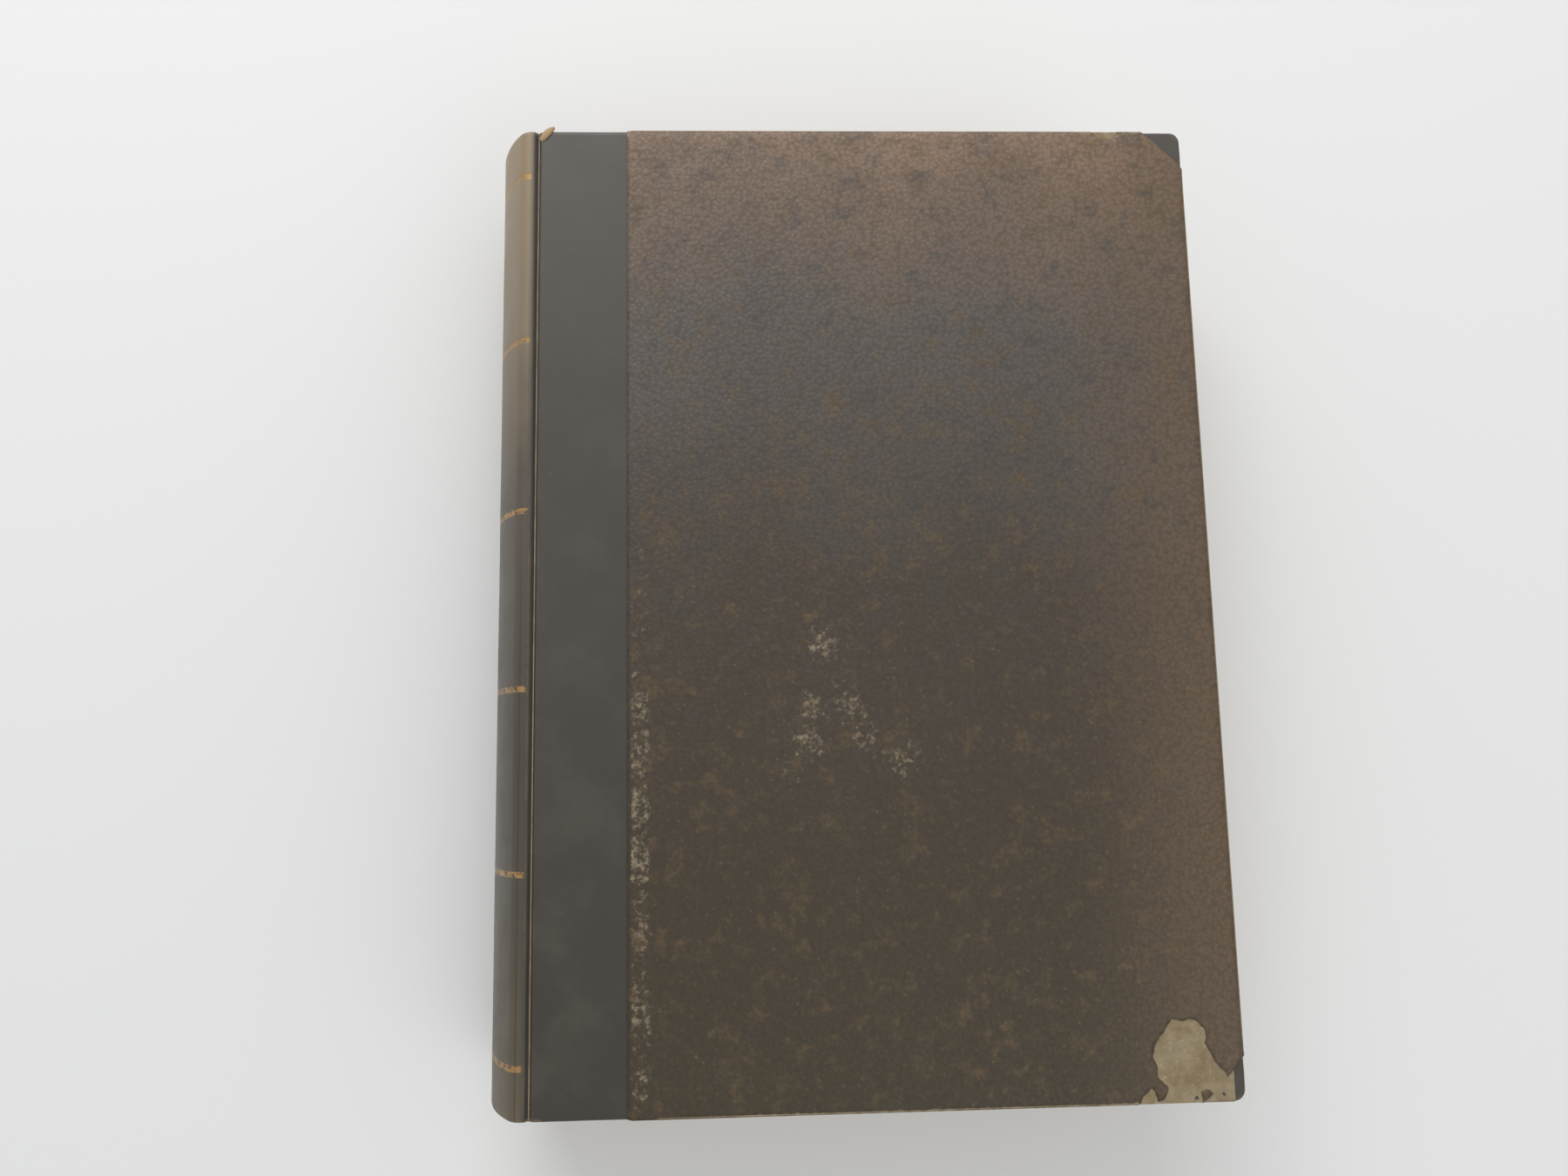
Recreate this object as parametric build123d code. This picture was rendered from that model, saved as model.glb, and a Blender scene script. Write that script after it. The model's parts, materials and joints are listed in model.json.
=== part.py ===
from build123d import *

import math
import os

# An old hardback book in a half binding: leather back and corners, paper sides.
#
# Millimetres, +Z up. The book lies on its back cover, with its spine along Y at -X, its
# fore-edge at +X and its head at +Y. The origin is the middle of the underside.
# Pieces are laid out from the joint, the crease between a board and the back: there x is 0,
# y is 0 at mid-height and z is 0 at mid-thickness. They move to the frame when written.
# The leather lies sunk in the boards, so that the side papers are level where they cover it.

# the whole book
board_height = 230.0  # head to tail
board_width = 158.5  # joint to fore-edge
book_thickness = 46.0  # side paper to side paper
spine_bulge = 11.5  # how far the rounded back stands out beyond the joint

# the boards and what covers them
board_thickness = 3.0
corner_radius = 2.0  # fore-edge corners, knocked round by use
side_paper = 0.3
leather = 0.6
endpaper = 0.15
leather_strip = 21.5  # leather that shows on a board, beside the joint
corner_leg = 10.0  # leather that shows at a corner, along each edge
strip_lap = 6.0  # how far the paper covers the strip's edge
corner_lap = 4.0  # how far it covers a corner's edge
turn_in = 15.0  # leather and paper folded over on the inside of a board

# the text block and its back
square = 3.5  # how far the boards stand out past the pages
fore_edge_hollow = 5.0
shoulder_radius = 4.0
shoulder_flat = 1.5  # level top of the shoulder, from the joint
liner = 0.5  # card inside the leather
mull = 0.3  # gauze glued to the pages' back
mull_short = 14.0  # mull stops this far from each end of the pages
cord_count = 5
cord_width = 2.4
cord_depth = 1.2  # sawn into the pages' back
end_cord = 22.0  # from an end of the pages to the first cord
headband_radius = 1.1

# clearances
joint_gap = 0.8  # from the back's leather to a cover's edge
cover_gap = 0.3  # from a pastedown to its flyleaf

# the torn place at the tail of the front cover: each point is how far it lies in from the
# fore-edge, and how far up from the tail
torn_outline = [
    (26.0, -1.0), (21.6, 3.7), (20.3, 0.8), (18.1, 3.5), (20.3, 6.6), (20.4, 11.2),
    (19.1, 14.0), (16.2, 18.2), (10.8, 18.4), (8.5, 14.8), (8.1, 11.4), (7.0, 8.6),
    (4.3, 5.8), (4.9, 3.1), (6.5, 1.2), (8.4, 2.8), (10.3, 2.7), (10.1, -1.0),
]
torn_depth = 2.0  # how far down the tail edge the tear reaches

# worked out
cover_thickness = board_thickness + 2 * side_paper
top = book_thickness / 2
cover_inside = top - cover_thickness
page_top = cover_inside - endpaper - cover_gap - endpaper
page_half_height = board_height / 2 - square
page_edge = board_width - square
leather_half_height = board_height / 2 - side_paper
leather_top = top - side_paper
liner_inset = leather
hollow_inset = liner_inset + liner
mull_inset = hollow_inset + leather
page_inset = mull_inset + mull
headband_inset = page_inset + headband_radius
beyond = 1.0  # how far a cutting block runs past what it cuts


def block(x, y, z):
    """A box between two limits on each axis."""
    size = (x[1] - x[0], y[1] - y[0], z[1] - z[0])
    middle = ((x[0] + x[1]) / 2, (y[0] + y[1]) / 2, (z[0] + z[1]) / 2)
    return Pos(*middle) * Box(*size)


def along(section, length, y=0.0):
    """A section in X and Z carried along Y, with its middle at y."""
    return Pos(0, y, 0) * extrude(Plane.XZ * section, length / 2, both=True)


# ---- the rounded back: a wide arc between two small shoulder arcs, all tangent

shoulder_z = leather_top - shoulder_radius
reach = spine_bulge - shoulder_flat
back_radius = (reach**2 + shoulder_z**2 - shoulder_radius**2) / (2 * (reach - shoulder_radius))
back_centre = back_radius - spine_bulge


def back_curve(inset):
    """The back's outline from the front joint round to the back joint, this far inside."""
    to_shoulder = Vector(-shoulder_flat - back_centre, shoulder_z).normalized()
    radius = shoulder_radius - inset
    half_turn = (Vector(0, 1) + to_shoulder).normalized()
    shoulder = Vector(-shoulder_flat, shoulder_z)
    start = Vector(-joint_gap, leather_top - inset)
    crown = shoulder + Vector(0, radius)
    bend = shoulder + half_turn * radius
    foot = shoulder + to_shoulder * radius
    low = [Vector(point.X, -point.Y) for point in (start, crown, bend, foot)]
    curve = Line(start, crown) + ThreePointArc(crown, bend, foot)
    curve += ThreePointArc(foot, (inset - spine_bulge, 0), low[3])
    curve += ThreePointArc(low[3], low[2], low[1]) + Line(low[1], low[0])
    return curve


def back_area(inset):
    """All that lies inside the back's outline, up to the joint."""
    edge = leather_top - inset
    return make_face(back_curve(inset) + Line((-joint_gap, -edge), (-joint_gap, edge)))


def back_layer(outer, inner, length, y=0.0):
    """A layer that follows the back, between two insets."""
    return along(back_area(outer) - back_area(inner), length, y)


def back_leather():
    """The leather of the back, folded over the liner at head and tail."""
    skin = back_layer(0, leather, 2 * leather_half_height)
    for end in (1, -1):
        rim = leather_half_height - leather / 2
        skin += back_layer(0, mull_inset, leather, end * rim)
        fold = leather_half_height - turn_in / 2
        skin += back_layer(hollow_inset, mull_inset, turn_in, end * fold)
    return skin


# ---- the pages, with what is sewn and glued to their back

def sewing_cords():
    """Flat hemp cords in saw cuts across the pages' back."""
    span = 2 * (page_half_height - end_cord)
    pitch = span / (cord_count - 1)
    places = [pitch * number - span / 2 for number in range(cord_count)]
    sunk = page_inset + cord_depth
    return [back_layer(page_inset, sunk, cord_width, y) for y in places]


def pages(cords):
    """All the leaves as one solid: rounded back, shoulders and hollow fore-edge."""
    high = (page_edge, page_top)
    low = (page_edge, -page_top)
    hollow = ThreePointArc(high, (page_edge - fore_edge_hollow, 0), low)
    spine_side = Line((-joint_gap, -page_top), (-joint_gap, page_top))
    front_side = Line((-joint_gap, page_top), high)
    back_side = Line(low, (-joint_gap, -page_top))
    leaves = make_face(front_side + hollow + back_side + spine_side)
    body = along(leaves + back_area(page_inset), 2 * page_half_height)
    for cord in cords:
        body -= cord
    return body


def headband(end):
    """A sewn roll that stands on the pages, following their back."""
    path = back_curve(headband_inset)
    start = path @ 0
    y = end * (page_half_height + headband_radius)
    lifted = Pos(0, y, 0) * (Plane.XZ * path)
    ring = Plane(origin=(start.X, y, start.Y), z_dir=(-1, 0, 0)) * Circle(headband_radius)
    return sweep(ring, path=lifted)


def flyleaf():
    """The free leaf of the front endpaper, lying on the pages."""
    height = (-page_half_height, page_half_height)
    return block((0, page_edge), height, (page_top, page_top + endpaper))


# ---- a cover: a board in its leather and paper

def cover_slab(inset):
    """The front cover's outer form, this far inside on every side but the joint."""
    half = board_height / 2 - inset
    depth = (cover_inside + inset, top - inset)
    slab = block((0, board_width - inset), (-half, half), depth)
    corners = slab.edges().filter_by(Axis.Z).group_by(Axis.X)[-1]
    return fillet(corners, corner_radius - inset)


def inner_window():
    """The inside of a cover that the turn-ins leave open."""
    half = board_height / 2 - turn_in
    middle = (top + cover_inside) / 2
    return block((-beyond, board_width - turn_in), (-half, half), (cover_inside, middle))


def corner_prism(leg, end):
    """The corner of a cover cut off at an angle, this far along each edge."""
    edge = board_width + beyond
    head = end * (board_height / 2 + beyond)
    run = leg + 2 * beyond
    outline = Polyline((edge, head), (edge - run, head), (edge, head - end * run), close=True)
    return Pos(0, 0, cover_inside - beyond) * extrude(make_face(outline), cover_thickness + 2 * beyond)


def torn_prism():
    """The torn place, as deep as it reaches down the tail edge."""
    points = [(board_width - x, y - board_height / 2) for x, y in torn_outline]
    outline = make_face(Polyline(*points, close=True))
    return Pos(0, 0, top - torn_depth) * extrude(outline, torn_depth + beyond)


def front_cover(torn):
    """The front cover's pieces by name."""
    height = (-board_height / 2, board_height / 2)
    depth = (cover_inside, top)
    skin = cover_slab(side_paper) - cover_slab(side_paper + leather)
    strip = skin & block((0, leather_strip + strip_lap), height, depth)
    strip -= inner_window()
    head_corner = skin & corner_prism(corner_leg + corner_lap, 1)
    tail_corner = skin & corner_prism(corner_leg + corner_lap, -1)

    sides = cover_slab(0) - cover_slab(side_paper) - inner_window()
    sides &= block((leather_strip, board_width), height, depth)
    sides -= corner_prism(corner_leg, 1)
    sides -= corner_prism(corner_leg, -1)
    if torn:
        sides -= torn_prism()
        tail_corner -= torn_prism()

    board = cover_slab(side_paper) + (cover_slab(0) & inner_window())
    for piece in (strip, head_corner, tail_corner):
        board -= piece
    page_height = (-page_half_height, page_half_height)
    under_board = (cover_inside - endpaper, cover_inside)
    return {
        "board": board,
        "leather_strip": strip,
        "side_paper": sides,
        "corner_head": head_corner,
        "corner_tail": tail_corner,
        "pastedown": block((joint_gap, page_edge), page_height, under_board),
    }


# ---- the whole book

def book():
    """Every piece of the book by node name."""
    cords = sewing_cords()
    pieces = {"text_block": pages(cords)}
    for number, cord in enumerate(cords, 1):
        pieces[f"sewing_cord_{number}"] = cord
    mull_length = 2 * (page_half_height - mull_short)
    pieces["mull"] = back_layer(mull_inset, page_inset, mull_length)
    liner_length = 2 * (leather_half_height - leather)
    pieces["spine_liner"] = back_layer(liner_inset, hollow_inset, liner_length)
    pieces["spine_leather"] = back_leather()
    pieces["headband_head"] = headband(1)
    pieces["headband_tail"] = headband(-1)
    pieces["front_flyleaf"] = flyleaf()
    pieces["back_flyleaf"] = mirror(flyleaf(), about=Plane.XY)
    for name, piece in front_cover(torn=True).items():
        pieces[f"front_{name}"] = piece
    for name, piece in front_cover(torn=False).items():
        pieces[f"back_{name}"] = mirror(piece, about=Plane.XY)
    return pieces


joint_x = (spine_bulge - board_width) / 2
to_frame = Pos(joint_x, 0, top)
os.makedirs("parts", exist_ok=True)
for name, piece in book().items():
    export_step(to_frame * piece, f"parts/{name}.step")
print(f"hinges at x {joint_x:.2f}, z 0 and {book_thickness:.2f}; back radius {back_radius:.2f}")
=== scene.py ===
import json
import math

import bpy
import numpy as np
from mathutils import Matrix, Vector, noise
from mathutils.geometry import delaunay_2d_cdt


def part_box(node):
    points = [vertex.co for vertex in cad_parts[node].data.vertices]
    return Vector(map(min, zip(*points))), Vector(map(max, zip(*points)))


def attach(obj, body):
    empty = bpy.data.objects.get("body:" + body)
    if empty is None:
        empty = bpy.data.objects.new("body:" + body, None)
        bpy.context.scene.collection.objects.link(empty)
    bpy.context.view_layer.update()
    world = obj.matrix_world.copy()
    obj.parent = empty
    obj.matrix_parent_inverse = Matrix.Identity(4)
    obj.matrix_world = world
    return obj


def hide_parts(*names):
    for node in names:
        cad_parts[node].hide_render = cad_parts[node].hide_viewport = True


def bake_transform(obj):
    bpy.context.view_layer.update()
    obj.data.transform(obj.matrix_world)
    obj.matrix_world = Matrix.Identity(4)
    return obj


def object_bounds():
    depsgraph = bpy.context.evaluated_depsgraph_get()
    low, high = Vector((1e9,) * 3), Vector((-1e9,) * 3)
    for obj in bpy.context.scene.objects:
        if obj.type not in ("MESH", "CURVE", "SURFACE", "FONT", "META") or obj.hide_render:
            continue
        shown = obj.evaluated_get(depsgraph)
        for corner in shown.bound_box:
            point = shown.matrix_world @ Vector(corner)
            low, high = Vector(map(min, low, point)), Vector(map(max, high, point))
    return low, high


# An old half-bound book: its looks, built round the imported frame.
#
# Shapes are laid out in millimetres from the front joint: x runs to the fore-edge, y to the
# head and z up from the table. Each vertex keeps that place, at rest, in the attribute
# "place", and how rubbed it is in "wear". The materials read both.

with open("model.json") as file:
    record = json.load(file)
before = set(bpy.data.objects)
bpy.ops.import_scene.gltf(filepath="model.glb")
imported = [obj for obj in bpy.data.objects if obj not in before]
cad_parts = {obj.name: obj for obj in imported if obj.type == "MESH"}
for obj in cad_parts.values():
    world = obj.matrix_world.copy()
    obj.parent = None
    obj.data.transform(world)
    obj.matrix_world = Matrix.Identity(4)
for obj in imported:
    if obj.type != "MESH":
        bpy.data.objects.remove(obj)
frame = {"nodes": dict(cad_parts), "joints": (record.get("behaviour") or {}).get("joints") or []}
cad_low, cad_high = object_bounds()

MM = 0.001
JOINT_X = frame["joints"][0]["pos_m"][0]
THICK = (cad_high.z - cad_low.z) / MM
HALF = (cad_high.y - cad_low.y) / 2 / MM
WIDTH = (cad_high.x - JOINT_X) / MM
BACK_PROUD = 0.15  # the leather of the back stands this far past the CAD's
BULGE = (JOINT_X - cad_low.x) / MM + BACK_PROUD
STRIP = (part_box("front_side_paper")[0].x - JOINT_X) / MM
STRIP_HIDDEN = (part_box("front_leather_strip")[1].x - JOINT_X) / MM
PAGE_X = (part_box("front_pastedown")[1].x - JOINT_X) / MM
PAGE_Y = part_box("text_block")[1].y / MM
COVER = 3.6  # board and papers, without the pastedown
PAPER = 0.3
SKIN = 0.5
PAGE_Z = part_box("front_flyleaf")[0].z / MM
GILT_FIRST = 12.0  # from the head to the first gilt line
GILT_PITCH = 41.3
CORNER = 10.0
LEATHER_Z = THICK - PAPER
SHOULDER_R = 4.0
SHOULDER_X = -1.5
PAPER_ROLL = 0.8  # outer radius where the paper turns over a board's edge
LEATHER_ROLL = 0.75
CORNER_ROLL = 0.7
PAPER_FLAP = 14.0  # how far the papers reach in under the board
PAPER_MITRE = 12.0
LEATHER_FOLD = 13.0
CAP_DEPTH = 1.75  # thickness that the leather wraps at the ends of the back
LEAVES_IN = 2.0  # the leaves lie this far inside the leather's outer face
BAND_IN = 3.1
BAND_RADIUS = 1.1
HOLLOW = 5.0  # how far the fore-edge curves in
LENS = 27.0
EYE = (0.0467, -0.0368, 0.2696)  # metres, from the joint on the front cover's face
TILT = (8.07, -2.31, -0.76)  # degrees about x, y and z
rng = np.random.default_rng(7)


# ---- mesh helpers

def smooth(value, low, high):
    """Smooth step from 0 at low to 1 at high."""
    t = np.clip((value - low) / (high - low), 0, 1)
    return t * t * (3 - 2 * t)


def rough(points, size, seed=0.0):
    """Smooth noise of about -1 to 1 at each point, with features of this size."""
    shift = Vector((seed * 17.3, seed * 5.1, seed * 9.7))
    return np.array([noise.noise(Vector(p) / size + shift) for p in points])


def outward(points, faces):
    """The faces of a closed piece, all turned over if they enclose a negative volume."""
    total = 0.0
    for face in faces:
        first = points[face[0]]
        for second, third in zip(face[1:-1], face[2:]):
            total += np.dot(first, np.cross(points[second], points[third]))
    return faces if total > 0 else [tuple(reversed(tuple(f))) for f in faces]


def piece(name, points, faces, material, wear=None):
    """A mesh from points in millimetres at the joint, with its place and wear kept."""
    points = np.asarray(points, float)
    faces = outward(points, faces)
    mesh = bpy.data.meshes.new(name)
    world = points * MM + np.array((JOINT_X, 0, 0))
    mesh.from_pydata(world.tolist(), [], [list(map(int, f)) for f in faces])
    kept = mesh.attributes.new("place", "FLOAT_VECTOR", "POINT")
    kept.data.foreach_set("vector", points.astype(np.float32).ravel())
    rubbed = mesh.attributes.new("wear", "FLOAT", "POINT")
    values = np.zeros(len(points)) if wear is None else np.asarray(wear)
    rubbed.data.foreach_set("value", values.astype(np.float32))
    mesh.polygons.foreach_set("use_smooth", [True] * len(mesh.polygons))
    mesh.materials.append(material)
    mesh.validate()
    made = bpy.data.objects.new(name, mesh)
    bpy.context.scene.collection.objects.link(made)
    return made


def grid_faces(rows, columns, closed=False):
    """Quads of a grid of rows x columns points, the columns closed into a ring or not."""
    index = np.arange(rows * columns).reshape(rows, columns)
    if closed:
        index = np.hstack([index, index[:, :1]])
    corners = (index[:-1, :-1], index[1:, :-1], index[1:, 1:], index[:-1, 1:])
    return np.stack([c.ravel() for c in corners], axis=1)


def thickened(outer, inner, faces):
    """Closes an outer and an inner layer with the same faces into one skin."""
    count = len(outer)
    faces = [tuple(f) for f in faces]
    edges = {}
    for face in faces:
        for a, b in zip(face, face[1:] + face[:1]):
            edges[(a, b)] = edges.get((a, b), 0) + 1
    rim = [(a, b) for a, b in edges if (b, a) not in edges]
    back = [tuple(i + count for i in reversed(f)) for f in faces]
    walls = [(b, a, a + count, b + count) for a, b in rim]
    return np.vstack([outer, inner]), faces + back + walls


def around_edge(s, edge, radius, depth):
    """Distance s over a board and round its edge: place, depth, and the face's out and down."""
    s = np.asarray(s, float)
    quarter = radius * math.pi / 2
    wall = depth - 2 * radius
    run = np.abs(s) - (edge - radius)
    turn = np.clip(run / radius, 0, math.pi / 2)
    second = np.clip((run - quarter - wall) / radius, 0, math.pi / 2)
    inside = np.maximum(run - 2 * quarter - wall, 0)
    place = np.minimum(np.abs(s), edge - radius)
    place = place + radius * np.sin(turn) - radius * (1 - np.cos(second)) - inside
    down = radius * (1 - np.cos(turn)) + np.clip(run - quarter, 0, wall) + radius * np.sin(second)
    angle = turn + second
    return np.sign(s) * place, down, np.sign(s) * np.sin(angle), -np.cos(angle)


# ---- wear on the front cover: centre, reach and strength of each rubbed place

SCUFFS = [
    (65.5, -5.0, 4.0, 0.5), (66.5, -12.0, 3.5, 1.0), (70.0, -20.0, 3.5, 0.7),
    (63.5, -26.0, 3.0, 1.0), (62.5, -34.0, 3.5, 1.0), (58.5, -41.0, 4.0, 0.7),
    (72.5, -26.0, 3.5, 1.0), (75.5, -33.0, 3.5, 0.9), (83.5, -20.0, 4.0, 0.6),
    (83.5, -38.0, 4.5, 0.9), (70.0, -43.0, 3.0, 0.5), (112.0, -16.0, 5.0, 0.35),
    (52.0, -70.0, 9.0, 0.3), (75.0, -66.0, 7.0, 0.45), (96.0, -82.0, 8.0, 0.45),
    (107.0, -90.0, 7.0, 0.5), (84.0, -96.0, 8.0, 0.35), (120.0, -70.0, 7.0, 0.25),
    (38.0, 4.0, 2.0, 0.7), (64.0, 33.0, 1.2, 0.9), (50.0, 50.0, 4.0, 0.3),
    (104.0, -108.0, 8.0, 0.5), (60.0, -104.0, 9.0, 0.35), (45.0, 18.0, 6.0, 0.2),
    (140.0, 97.0, 6.0, 0.3), (150.0, 92.0, 5.0, 0.3),
]
RIDGE_SPOTS = [
    (60.0, 5.0, 0.6), (40.0, 9.0, 0.4), (8.0, 6.0, 0.6), (-5.0, 8.0, 0.7), (-25.0, 9.0, 0.9),
    (-36.0, 8.0, 0.95), (-48.0, 7.0, 1.0), (-60.0, 8.0, 1.0), (-75.0, 9.0, 0.9),
    (-92.0, 9.0, 0.95), (-108.0, 7.0, 0.85),
]
# the torn place's outline: in from the fore-edge and up from the tail
TORN = [
    (26.0, -1.0), (23.6, 1.7), (21.6, 3.9), (20.6, 2.6), (20.3, 0.8), (19.2, 0.9), (18.2, 2.2),
    (17.8, 3.6), (18.9, 4.9), (20.1, 6.2), (20.0, 8.4), (20.9, 10.6), (20.3, 12.6),
    (19.2, 14.1), (17.4, 16.6), (16.2, 18.3), (14.0, 17.8), (12.1, 18.2), (10.4, 17.6),
    (9.0, 16.0), (8.5, 14.6), (8.9, 12.9), (8.1, 11.4), (7.2, 9.4), (6.2, 8.0), (4.8, 6.6),
    (4.0, 5.2), (4.7, 3.4), (5.4, 1.9), (6.6, 1.1), (7.9, 2.2), (9.2, 3.0), (10.4, 2.6),
    (10.1, -1.0),
]
TORN_TAIL = 2.6  # how far the tear runs down the tail edge


def front_wear(x, y):
    """How rubbed the front side paper is."""
    wear = np.zeros(len(x))
    for cx, cy, reach, strength in SCUFFS:
        away = (x - cx)**2 + (y - cy)**2
        wear = np.maximum(wear, 0.8 * strength * np.exp(-away / (3.4 * reach**2)))
    ridge = np.zeros(len(x))
    for cy, reach, strength in RIDGE_SPOTS:
        ridge = np.maximum(ridge, strength * np.exp(-(y - cy)**2 / (2 * reach**2)))
    on_ridge = smooth(x, STRIP, STRIP + 1.0)
    on_ridge = on_ridge * (1 - smooth(x, STRIP_HIDDEN - 1.2, STRIP_HIDDEN + 0.6))
    wear = np.maximum(wear, ridge * on_ridge * 0.82)
    wear = np.maximum(wear, 0.22 * smooth(-y, 40, 80) * smooth(x, 28, 45))
    tail = smooth(-y, HALF - 1.6, HALF - 0.3) * smooth(x, 28, 50)
    wear = np.maximum(wear, 1.0 * tail)
    head = smooth(y, HALF - 1.2, HALF - 0.3)
    wear = np.maximum(wear, 0.55 * head)
    chip = np.exp(-((x - 139.5)**2 / 18 + (y - HALF)**2 / 3.5)) + 0.8 * np.exp(
        -((x - 133.5)**2 / 3 + (y - HALF)**2 / 1.5)) + 0.8 * np.exp(
        -((x - 147.0)**2 / 3 + (y - HALF)**2 / 1.5))
    wear = np.maximum(wear, np.clip(1.6 * chip, 0, 1.3))
    fore = smooth(x, WIDTH - 1.0, WIDTH - 0.2)
    wear = np.maximum(wear, 0.45 * fore)
    return np.clip(wear, 0, 1.3)


def plain_wear(x, y):
    """Light rubbing at the edges alone."""
    edge = np.maximum(smooth(np.abs(y), HALF - 1.2, HALF - 0.2), smooth(x, WIDTH - 1.2, WIDTH - 0.2))
    return 0.6 * edge


# ---- the side papers: flat sheets folded round the board

def inside(points, outline):
    """Which points lie inside a closed outline."""
    x, y = points[:, 0], points[:, 1]
    found = np.zeros(len(points), bool)
    for (ax, ay), (bx, by) in zip(outline, outline[1:] + outline[:1]):
        crosses = (ay > y) != (by > y)
        slope = (bx - ax) / (by - ay) if by != ay else 0.0
        found ^= crosses & (x < ax + (y - ay) * slope)
    return found


def subdivided(outline, step, ragged=0.0, seed=0.0):
    """The outline with extra points along it, moved a little to look torn."""
    points = []
    for (ax, ay), (bx, by) in zip(outline, outline[1:] + outline[:1]):
        count = max(1, int(math.hypot(bx - ax, by - ay) / step))
        for k in range(count):
            t = k / count
            points.append((ax + (bx - ax) * t, ay + (by - ay) * t))
    if not ragged:
        return points
    shift = [(noise.noise(Vector((x, y, seed)) * 1.3), noise.noise(Vector((x, y, seed + 9)) * 1.3))
             for x, y in points]
    return [(x + ragged * a, y + ragged * b) for (x, y), (a, b) in zip(points, shift)]


def flat_mesh(outline, pitch, hole=None):
    """Triangles over an outline with an optional hole, as even as its pitch."""
    span = np.array(outline)
    xs = np.arange(span[:, 0].min(), span[:, 0].max() + pitch, pitch)
    ys = np.arange(span[:, 1].min(), span[:, 1].max() + pitch, pitch)
    grid = np.stack(np.meshgrid(xs, ys), -1).reshape(-1, 2)
    grid = grid[inside(grid, outline)]
    rings = [outline] + ([hole] if hole else [])
    points, edges = [], []
    for ring in rings:
        start = len(points)
        points += ring
        edges += [(start + i, start + (i + 1) % len(ring)) for i in range(len(ring))]
        near = np.full(len(grid), np.inf)
        for px, py in ring:
            near = np.minimum(near, (grid[:, 0] - px)**2 + (grid[:, 1] - py)**2)
        grid = grid[near > (0.45 * pitch)**2]
    points += grid.tolist()
    made = delaunay_2d_cdt([Vector(p) for p in points], edges, [], 0, 1e-5)
    vertices = np.array([tuple(v) for v in made[0]])
    faces = np.array([f for f in made[2] if len(f) == 3])
    middle = vertices[faces].mean(axis=1)
    keep = inside(middle, outline)
    if hole:
        keep &= ~inside(middle, hole)
    faces = faces[keep]
    a, b, c = vertices[faces[:, 0]], vertices[faces[:, 1]], vertices[faces[:, 2]]
    area = (b[:, 0] - a[:, 0]) * (c[:, 1] - a[:, 1]) - (b[:, 1] - a[:, 1]) * (c[:, 0] - a[:, 0])
    faces[area < 0] = faces[area < 0][:, ::-1]
    used = np.unique(faces)
    lookup = np.full(len(vertices), -1)
    lookup[used] = np.arange(len(used))
    return vertices[used], lookup[faces]


def side_paper(name, body, node, material, torn, pitch, wear_at, flip):
    """A cover's pebbled paper, cut at the corners and folded over three edges."""
    flap = COVER + PAPER_FLAP
    cut_x, cut_y = WIDTH - CORNER, HALF - CORNER
    top_flap, far_flap = HALF + flap, WIDTH + flap
    outline = [
        (STRIP, -top_flap), (cut_x - PAPER_MITRE, -top_flap), (cut_x, -HALF - COVER), (cut_x, -HALF),
        (WIDTH, -cut_y), (WIDTH + COVER, -cut_y), (far_flap, -cut_y + PAPER_MITRE),
        (far_flap, cut_y - PAPER_MITRE), (WIDTH + COVER, cut_y), (WIDTH, cut_y),
        (cut_x, HALF), (cut_x, HALF + COVER), (cut_x - PAPER_MITRE, top_flap), (STRIP, top_flap),
    ]
    if torn:
        hole = [(WIDTH - x, y - HALF if y > 0 else -HALF - TORN_TAIL) for x, y in TORN]
        hole = subdivided(hole, 0.5, 0.32, 3.0)
        chip = [(136.0, HALF + 1.4), (136.2, HALF - 0.6), (138.0, HALF - 1.9), (140.2, HALF - 2.4),
                (142.0, HALF - 1.1), (143.2, HALF - 0.2), (143.4, HALF + 1.4)]
    else:
        hole = None
    ring = subdivided(outline, 2.0)
    flat, faces = flat_mesh(ring, pitch, hole)
    if torn:
        inside_chip = inside(flat[faces].mean(axis=1), chip)
        faces = faces[~inside_chip]
    x, down_x, out_x, up_x = around_edge(flat[:, 0], WIDTH, PAPER_ROLL, COVER)
    y, down_y, out_y, up_y = around_edge(flat[:, 1], HALF, PAPER_ROLL, COVER)
    depth = down_x + down_y
    at = np.stack([x, y, np.zeros(len(x))], 1)
    field = 0.1 * smooth(x, STRIP_HIDDEN - 0.6, STRIP_HIDDEN + 0.8)
    field *= 1 - smooth(x + np.abs(y), WIDTH + HALF - CORNER - 5.0, WIDTH + HALF - CORNER - 4.0)
    field += 0.02 * (rough(at, 23.0, 1.0) + 1) + 0.015 * (rough(at, 5.0, 2.0) + 1)
    on_top = depth < 0.05
    depth = depth + np.where(on_top, field, 0.06)
    normal = np.stack([out_x, out_y, np.maximum(up_x, up_y)], 1)
    edge = (np.abs(out_x) < 1e-6) & (np.abs(out_y) < 1e-6) & (depth < 1.5)
    normal[edge] = (0, 0, 1)
    under = (up_x > 0.5) | (up_y > 0.5)
    normal[under] = (0, 0, -1)
    normal /= np.maximum(np.linalg.norm(normal, axis=1), 1e-6)[:, None]
    outer = np.stack([x, y, THICK - depth], 1)
    inner = outer - normal * (PAPER - 0.05)
    wear = wear_at(x, y)
    points, all_faces = thickened(outer, inner, faces)
    wear = np.concatenate([wear, wear])
    if flip:
        points[:, 2] = THICK - points[:, 2]
        all_faces = [tuple(reversed(f)) for f in all_faces]
    made = piece(name, points, all_faces, material, wear)
    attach(made, body)
    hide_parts(node)
    return made


# ---- the leather of the back and the two strips, in two pieces

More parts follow.
